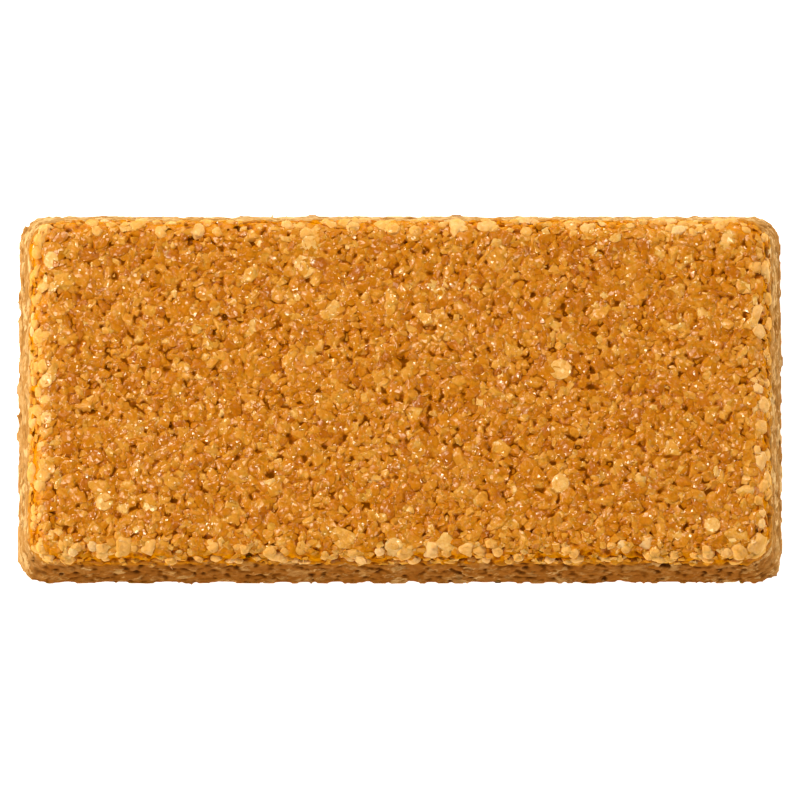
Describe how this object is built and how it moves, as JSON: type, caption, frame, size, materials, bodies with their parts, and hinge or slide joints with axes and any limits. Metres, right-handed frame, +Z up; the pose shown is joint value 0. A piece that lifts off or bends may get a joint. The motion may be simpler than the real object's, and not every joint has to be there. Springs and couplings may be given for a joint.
{
  "type": "peanut bar",
  "caption": "Rectangular bar of finely chopped roasted peanuts pressed and set in caramelised sugar, with a flat top, rounded rim and walls leaning out to the foot.",
  "frame": {"origin": "centre of the flat underside of the bar", "axes": "+X along the bar's length, +Y across its width, +Z up out of the pressed top"},
  "size_m": [0.1004, 0.049, 0.0096],
  "materials": {
    "chopped_peanut": null,
    "set_syrup": null
  },
  "bodies": {
    "root": {"peanut_bar": "chopped_peanut"}
  },
  "joints": []
}
